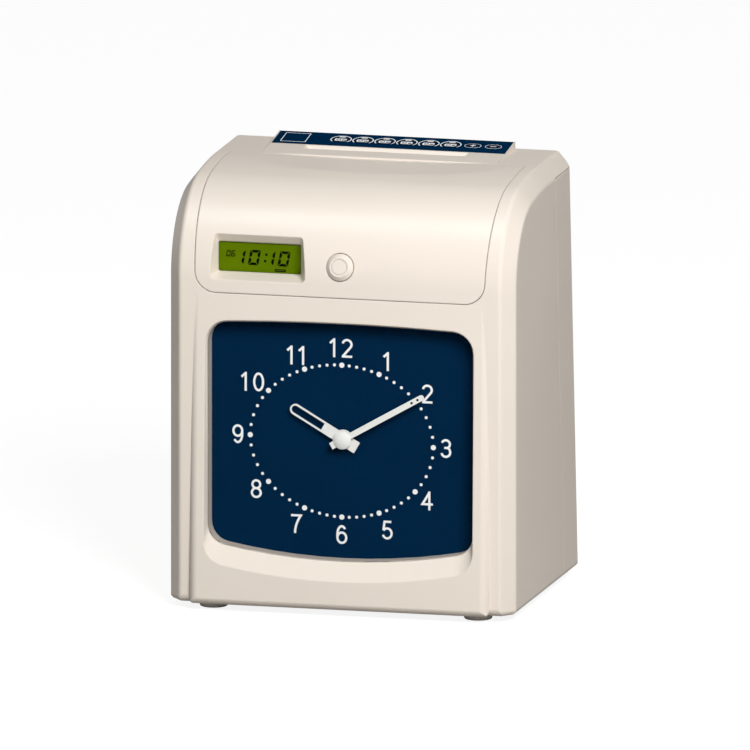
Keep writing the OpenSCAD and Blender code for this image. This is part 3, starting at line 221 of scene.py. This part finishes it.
def face_frame(origin, out):
    """Frame with its z out of the face and its x level, to the right."""
    out = out.normalized()
    turn = Matrix((LEVEL, out.cross(LEVEL), out)).transposed().to_4x4()
    return Matrix.Translation(Vector(origin) * MM) @ turn @ Matrix.Scale(MM, 4)


def place(name, bm, face, material, body):
    """The drawn mesh as a piece on a face, riding on a body."""
    mesh = bpy.data.meshes.new(name)
    bmesh.ops.recalc_face_normals(bm, faces=bm.faces)
    bm.to_mesh(mesh)
    bm.free()
    mesh.transform(face)
    mesh.materials.append(material)
    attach(show(bpy.data.objects.new(name, mesh)), body)


def slab(bm, outline, low, high):
    """Outline extruded from low to high."""
    a, b = [[bm.verts.new((x, y, z)) for x, y in outline] for z in (low, high)]
    bm.faces.new(b)
    bm.faces.new(a[::-1])
    for i in range(len(a)):
        bm.faces.new((a[i - 1], a[i], b[i], b[i - 1]))


def stroke(bm, path, width, low, high, closed=False):
    """Line of even width along a path, extruded from low to high."""
    path = [Vector(p) for p in path]
    n = len(path)
    sides = [], []
    for i, p in enumerate(path):
        before = p - path[i - 1] if i or closed else path[1] - p
        after = path[(i + 1) % n] - p if i < n - 1 or closed else before
        along = (before.normalized() + after.normalized()).normalized()
        reach = width / 2 / max(SHARPEST_MITRE, along.dot(after.normalized()))
        across = Vector((-along.y, along.x)) * reach
        sides[0].append(p + across)
        sides[1].append(p - across)
    corners = (sides[0], low), (sides[1], low), (sides[1], high), (sides[0], high)
    rails = [[bm.verts.new((q.x, q.y, z)) for q in side] for side, z in corners]
    for k in range(4):
        for i in range(n if closed else n - 1):
            j = (i + 1) % n
            bm.faces.new((rails[k - 1][i], rails[k - 1][j], rails[k][j], rails[k][i]))
    if not closed:
        for i in (0, n - 1):
            bm.faces.new([rail[i] for rail in rails])


def arc(x, y, rx, ry, start, end, step=9):
    """Points of an ellipse round (x, y) from one angle to another; a full turn leaves out the last."""
    n = max(4, round(abs(end - start) / step))
    count = n if abs(end - start) == 360 else n + 1
    angles = [math.radians(start + (end - start) * i / n) for i in range(count)]
    return [(x + rx * math.cos(a), y + ry * math.sin(a)) for a in angles]


def disc(x, y, r, step):
    """Outline of a dot."""
    return arc(x, y, r, r, 0, 360, step)


def pill(x, y, w, h, r):
    """Rounded rectangle round (x, y)."""
    out = []
    for cx, cy, start in ((1, 1, 0), (-1, 1, 90), (-1, -1, 180), (1, -1, 270)):
        out += arc(x + cx * (w / 2 - r), y + cy * (h / 2 - r), r, r, start, start + 90, 15)
    return out


# Dial: plain figures and minute dots; the print sits a little off the hands' centre, as in the photograph

PRINT_LOW, PRINT_HIGH, LINE_STEP = 0.005, 0.06, 0.01
PRINT_OFF = Vector((-1.5, 0, -1.6))
PRINT_LEAN = -0.022
FIGURE_W, FIGURE_H, FIGURE_T = 6.4, 10.8, 1.3
FIGURE_STEP, ONES_STEP = 8.5, 6.7
hub = middle("hand_cap", FRONT)
dial_y = middle("dial_plate", FRONT).y
dial_face = face_frame(Vector((hub.x, dial_y, hub.z)) + PRINT_OFF, FRONT)


def figure_lines(char):
    """Centre lines of a plain figure, and whether each is closed."""
    a, b = (FIGURE_W - FIGURE_T) / 2, (FIGURE_H - FIGURE_T) / 2
    tip = b + FIGURE_T / 2
    if char == "0":
        return [(arc(0, 0, a, b, 0, 360), True)]
    if char == "1":
        stem = 0.4 * a
        flag = [(stem, b), (stem - 0.95 * a, b - 0.85 * a)]
        return [([(stem, -tip), (stem, tip)], False), (flag, False)]
    if char == "2":
        bowl = 0.54 * b
        neck = arc(0, b - bowl, a, bowl, 168, -38) + [(-a, -b)]
        return [(neck, False), ([(-1.2 * a, -b), (1.15 * a, -b)], False)]
    if char == "3":
        small, large, waist = 0.48 * b, 0.56 * b, 0.07 * b
        return [
            (arc(0, b - small, 0.92 * a, small, 160, -78), False),
            (arc(0, large - b, a, large, 80, -165), False),
            ([(-0.35 * a, waist), (0.25 * a, waist)], False),
        ]
    if char == "4":
        stem, bar = 0.45 * a, -0.42 * b
        slope = [(stem, 0.98 * b), (-1.1 * a, bar), (1.25 * a, bar)]
        return [(slope, False), ([(stem, -tip), (stem, tip)], False)]
    if char == "5":
        bowl = 0.6 * b
        return [
            ([(0.9 * a, b), (-0.6 * a, b), (-0.88 * a, -0.02 * b)], False),
            (arc(-0.02 * a, bowl - b, a, bowl, 146, -162), False),
        ]
    if char in "69":
        bowl = 0.62 * b
        lines = [(arc(0, bowl - b, a, bowl, 0, 360), True), (arc(0, 0, a, b, 42, 200), False)]
        return lines if char == "6" else [([(-x, -y) for x, y in path], closed) for path, closed in lines]
    if char == "7":
        steps = [i / 10 for i in range(9, -1, -1)]
        sweep = [(a * (1.3 * s * s - 0.3), b - (b + tip) * (1 - s)) for s in steps]
        return [([(-1.2 * a, b), (a, b)] + sweep, False)]
    small, large = 0.47 * b, 0.53 * b
    return [(arc(0, b - small, 0.88 * a, small, 0, 360), True), (arc(0, large - b, a, large, 0, 360), True)]


def figure(text, x, y):
    """One or two figures round (x, y)."""
    bm = bmesh.new()
    step = ONES_STEP if text == "11" else FIGURE_STEP
    for i, char in enumerate(text):
        dx = x + NUDGE.get(text, 0) + step * (i - (len(text) - 1) / 2)
        for k, (path, closed) in enumerate(figure_lines(char)):
            line = [(px + dx, py + y + PRINT_LEAN * x) for px, py in path]
            stroke(bm, line, FIGURE_T, PRINT_LOW, PRINT_HIGH + LINE_STEP * k, closed)
    place("figure_" + text, bm, dial_face, white_print, "housing")


# Places of the figures from 12 to 6 on the right; those on the left mirror them, and wide ones shift a little
RIGHT_PLACES = [(0, 53.3), (25.6, 47.4), (49.5, 30.5), (60.2, 0), (49.5, -30.7), (26.3, -49.1), (0, -53.5)]
NUDGE = {"10": -2.9, "11": -1.2, "12": -1.2}
for hour in range(1, 13):
    on_right = hour % 12 <= 6
    x, y = RIGHT_PLACES[hour % 12 if on_right else 12 - hour]
    figure(str(hour), x if on_right else -x, y)

DOTS_RX, DOTS_RY, DOTS_SQUEEZE = 53.0, 43.5, 0.94
DOT_R, HOUR_DOT_R = 0.88, 1.5
dots = bmesh.new()
for minute in range(60):
    angle = math.radians(6 * minute)
    x, y = DOTS_SQUEEZE * math.sin(angle), math.cos(angle)
    r = 1 / math.hypot(x / DOTS_RX, y / DOTS_RY)
    size = DOT_R if minute % 5 else HOUR_DOT_R
    slab(dots, disc(r * x, r * y + PRINT_LEAN * r * x, size, 15), PRINT_LOW, PRINT_HIGH)
place("minute_dots", dots, dial_face, white_print, "housing")

# Minute hand: two dark dots near its tip, which stands at two o'clock
HAND_TURN = math.radians(60)
MARK_R, MARKS_AT = 0.7, (46.6, 50.5)
hand_face = face_frame((hub.x, middle("minute_hand", FRONT).y, hub.z), FRONT)
marks = bmesh.new()
for r in MARKS_AT:
    slab(marks, disc(r * math.sin(HAND_TURN), r * math.cos(HAND_TURN), MARK_R, 20), PRINT_LOW, PRINT_HIGH)
place("hand_marks", marks, hand_face, ink, "minute")


# Display: sloping seven-segment digits and a marker; a pill's numbers are x, y, width, height and corner

INK_LOW, INK_HIGH = 0.005, 0.03
LEAN = math.tan(math.radians(11))
SEGMENTS = {"0": "abcdef", "1": "bc", "6": "acdefg"}
SEGMENT_GAP = 0.18
TIME_W, TIME_H, TIME_T = 6.1, 8.7, 1.5
TIME_X, TIME_Y, TIME_STEP = -12.0, -0.25, 8.6
DAY_W, DAY_H, DAY_T = 2.4, 3.6, 0.65
DAY_X, DAY_Y, DAY_STEP = -18.4, 1.5, 2.8
COLON_X, COLON_YS, COLON_W, COLON_R = 3.2, (1.7, -2.0), 1.3, 0.2
MARKER, MARKER_T = (11.6, -7.0, 5.8, 0.9, 0.2), 0.6
lcd_face = face_frame(middle("lcd_panel", FRONT), FRONT)


def digit(bm, char, x, y, w, h, t):
    """Seven-segment digit round (x, y)."""
    g = SEGMENT_GAP * t
    s, e = w / 2, h / 2
    half = [(t / 2 + g - s, 0), (t + g - s, t / 2), (s - t - g, t / 2)]
    bars = {
        "a": [(g - s, e), (s - g, e), (s - t - g, e - t), (t + g - s, e - t)],
        "b": [(s, e - g), (s, g), (s - t / 2, g), (s - t, t / 2 + g), (s - t, e - t - g)],
        "g": half + [(-px, -py) for px, py in half],
    }
    bars["c"] = [(px, -py) for px, py in bars["b"]]
    bars["d"] = [(px, -py) for px, py in bars["a"]]
    bars["e"] = [(-px, -py) for px, py in bars["b"]]
    bars["f"] = [(-px, py) for px, py in bars["b"]]
    for key in SEGMENTS[char]:
        slab(bm, [(x + px + LEAN * py, y + py) for px, py in bars[key]], INK_LOW, INK_HIGH)


digits = bmesh.new()
for i, char in enumerate("1010"):
    digit(digits, char, TIME_X + TIME_STEP * i, TIME_Y, TIME_W, TIME_H, TIME_T)
for i, char in enumerate("06"):
    digit(digits, char, DAY_X + DAY_STEP * i, DAY_Y, DAY_W, DAY_H, DAY_T)
for y in COLON_YS:
    slab(digits, pill(COLON_X + LEAN * y, y, COLON_W, COLON_W, COLON_R), INK_LOW, INK_HIGH)
stroke(digits, pill(*MARKER), MARKER_T, INK_LOW, INK_HIGH, True)
place("display_digits", digits, lcd_face, segment, "lid")


# Keypad: rings, outlines and plain card signs; a pill's numbers are as before

FILM_LOW, FILM_HIGH = 0.005, 0.03
LINES_LOW, LINES_HIGH = FILM_HIGH + 0.005, FILM_HIGH + 0.02
RING_R, RING_T, RING_FROM, RING_TO = 5.75, 0.62, -42, 222
CARD, TAB = (0, -1.0, 6.8, 4.0, 1.2), (0, 3.9, 3.6, 1.5, 0.5)
CARD_BOX, CARD_BOX_T, CARD_MARK = (-1.1, -1.1, 2.0, 1.8, 0.4), 0.5, (1.9, -1.4, 2.2, 1.5, 0.3)
OVAL_W, OVAL_H, OVAL_R, OVAL_T = 9.3, 6.4, 3.1, 0.3
BAR_L, BAR_T, BAR_R = 3.4, 0.8, 0.2
PLUS, MINUS = ((BAR_L, BAR_T), (BAR_T, BAR_L)), ((BAR_L, BAR_T),)
FIELD, FIELD_T = (-56.1, 0.2, 14.2, 14.6, 0.5), 0.42
key_out = -axes["key_1_push"]
film = middle("keypad_overlay", key_out)
film_face = face_frame(film, key_out)
up_film = key_out.cross(LEVEL)


def on_film(node):
    """Place of a key on the film."""
    d = middle(node, key_out) - film
    return d.x, d.dot(up_film)


rings = bmesh.new()
for i in range(1, 7):
    x, y = on_film(f"key_{i}")
    stroke(rings, arc(x, y, RING_R, RING_R, RING_FROM, RING_TO, 6), RING_T, FILM_LOW, FILM_HIGH)
    key_face = face_frame(middle(f"key_{i}", key_out), key_out)
    sign = bmesh.new()
    slab(sign, pill(*CARD), FILM_LOW, FILM_HIGH)
    slab(sign, pill(*TAB), FILM_LOW, FILM_HIGH)
    place(f"key_sign_{i}", sign, key_face, white_print, f"key_{i}_cap")
    lines = bmesh.new()
    stroke(lines, pill(*CARD_BOX), CARD_BOX_T, LINES_LOW, LINES_HIGH, True)
    slab(lines, pill(*CARD_MARK), LINES_LOW, LINES_HIGH)
    place(f"key_lines_{i}", lines, key_face, ink, f"key_{i}_cap")
for node, bars in (("function_key_left", PLUS), ("function_key_right", MINUS)):
    x, y = on_film(node)
    stroke(rings, pill(x, y, OVAL_W, OVAL_H, OVAL_R), OVAL_T, FILM_LOW, FILM_HIGH, True)
    sign = bmesh.new()
    for w, h in bars:
        slab(sign, pill(0, 0, w, h, BAR_R), FILM_LOW, FILM_HIGH)
    place(node + "_sign", sign, face_frame(middle(node, key_out), key_out), white_print, node + "_cap")
stroke(rings, pill(*FIELD), FIELD_T, FILM_LOW, FILM_HIGH, True)
place("keypad_rings", rings, film_face, white_print, "housing")


# Button's spring: a copy of the imported coil, riding on the lid in place of the imported one

coil = nodes["button_spring"].data.copy()
spring = show(bpy.data.objects.new("spring_coil", coil))
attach(spring, "lid")
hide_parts("button_spring")
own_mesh(spring)


# Floor and world: both white to the camera, with a faint shadow on the floor, and grey to the surfaces

FLOOR_REACH = 14.0
FLOOR_GREY = (0.36, 0.35, 0.34, 1)
SHADOW_GREY = (0.24, 0.24, 0.24, 1)
FLOOR_GLOW, SKY_GLOW = 0.88, 0.21
WHITE = (1, 1, 1, 1)


def shader(tree, kind, **values):
    """Shader node with its inputs set."""
    node = tree.nodes.new("ShaderNode" + kind)
    for key, value in values.items():
        node.inputs[key].default_value = value
    return node


def pick(tree, seen, other, out):
    """Shows one shader to the camera and the other to the surfaces."""
    path = tree.nodes.new("ShaderNodeLightPath")
    mix = tree.nodes.new("ShaderNodeMixShader")
    tree.links.new(path.outputs["Is Camera Ray"], mix.inputs[0])
    tree.links.new(other.outputs[0], mix.inputs[1])
    tree.links.new(seen.outputs[0], mix.inputs[2])
    tree.links.new(mix.outputs[0], shader(tree, out).inputs["Surface"])


floor_mesh = bpy.data.meshes.new("floor")
corners = [(x * FLOOR_REACH, y * FLOOR_REACH, 0) for x, y in ((-1, -1), (1, -1), (1, 1), (-1, 1))]
floor_mesh.from_pydata(corners, [], [range(4)])
floor_look = bpy.data.materials.new("floor")
floor_look.use_nodes = True
tree = floor_look.node_tree
tree.nodes.clear()
glowing = tree.nodes.new("ShaderNodeAddShader")
tree.links.new(shader(tree, "BsdfDiffuse", Color=SHADOW_GREY).outputs[0], glowing.inputs[0])
tree.links.new(shader(tree, "Emission", Strength=FLOOR_GLOW).outputs[0], glowing.inputs[1])
pick(tree, glowing, shader(tree, "BsdfDiffuse", Color=FLOOR_GREY), "OutputMaterial")
floor_mesh.materials.append(floor_look)
floor = show(bpy.data.objects.new("floor", floor_mesh))

scene = bpy.context.scene
scene.view_settings.view_transform = "Standard"
world = bpy.data.worlds.new("studio")
scene.world = world
world.use_nodes = True
tree = world.node_tree
tree.nodes.clear()
white = shader(tree, "Background", Color=WHITE)
pick(tree, white, shader(tree, "Background", Color=WHITE, Strength=SKY_GLOW), "OutputWorld")


# Lamps: a soft key from the front right, a high one for the lid's bright band, and two fills from behind


def towards(azimuth, elevation):
    """Direction of a lamp or the camera, its azimuth from the front to the right."""
    a, e = math.radians(azimuth), math.radians(elevation)
    return Vector((math.sin(a) * math.cos(e), -math.cos(a) * math.cos(e), math.sin(e)))


def lamp(name, kind, direction, energy, diffuse=True, glossy=True, **settings):
    """Lamp that shines from a direction, and what sort of light it gives."""
    data = bpy.data.lights.new(name, kind)
    data.energy = energy
    for key, value in settings.items():
        setattr(data, key, value)
    obj = show(bpy.data.objects.new(name, data))
    obj.rotation_euler = direction.to_track_quat("Z", "Y").to_euler()
    obj.visible_diffuse = diffuse
    obj.visible_glossy = glossy
    return obj


KEY_FROM, KEY_FAR = towards(31, 34), 1.7
KEY_AIM = Vector((0, -0.06, 0.14))
key = lamp("key_light", "AREA", KEY_FROM, 29.8, glossy=False, shape="SQUARE", size=0.6)
key.location = KEY_AIM + KEY_FROM * KEY_FAR
lamp("band_light", "SUN", towards(-24, 66), 0.95, diffuse=False, angle=math.radians(14))
lamp("back_fill", "SUN", towards(-135, 8), 1.0, glossy=False, angle=math.radians(60))
lamp("rear_fill", "SUN", towards(180, 4), 0.9, glossy=False, angle=math.radians(20))


# Camera: without perspective, a little above the object and to its right

AZIMUTH, ELEVATION = 14.0, 11.35
VIEW_W, VIEW_FAR, CLIP_END = 0.42125, 3.0, 40
SHIFT_RIGHT, SHIFT_UP = 0.00174, 0.1215
back = towards(AZIMUTH, ELEVATION)
right = Vector((math.cos(math.radians(AZIMUTH)), math.sin(math.radians(AZIMUTH)), 0))
up = back.cross(right)
camera = show(bpy.data.objects.new("camera", bpy.data.cameras.new("camera")))
camera.data.type = "ORTHO"
camera.data.ortho_scale = VIEW_W
camera.data.clip_end = CLIP_END
turn = Matrix((right, up, back)).transposed().to_4x4()
camera.matrix_world = Matrix.Translation(right * SHIFT_RIGHT + up * SHIFT_UP + back * VIEW_FAR) @ turn
scene.camera = camera
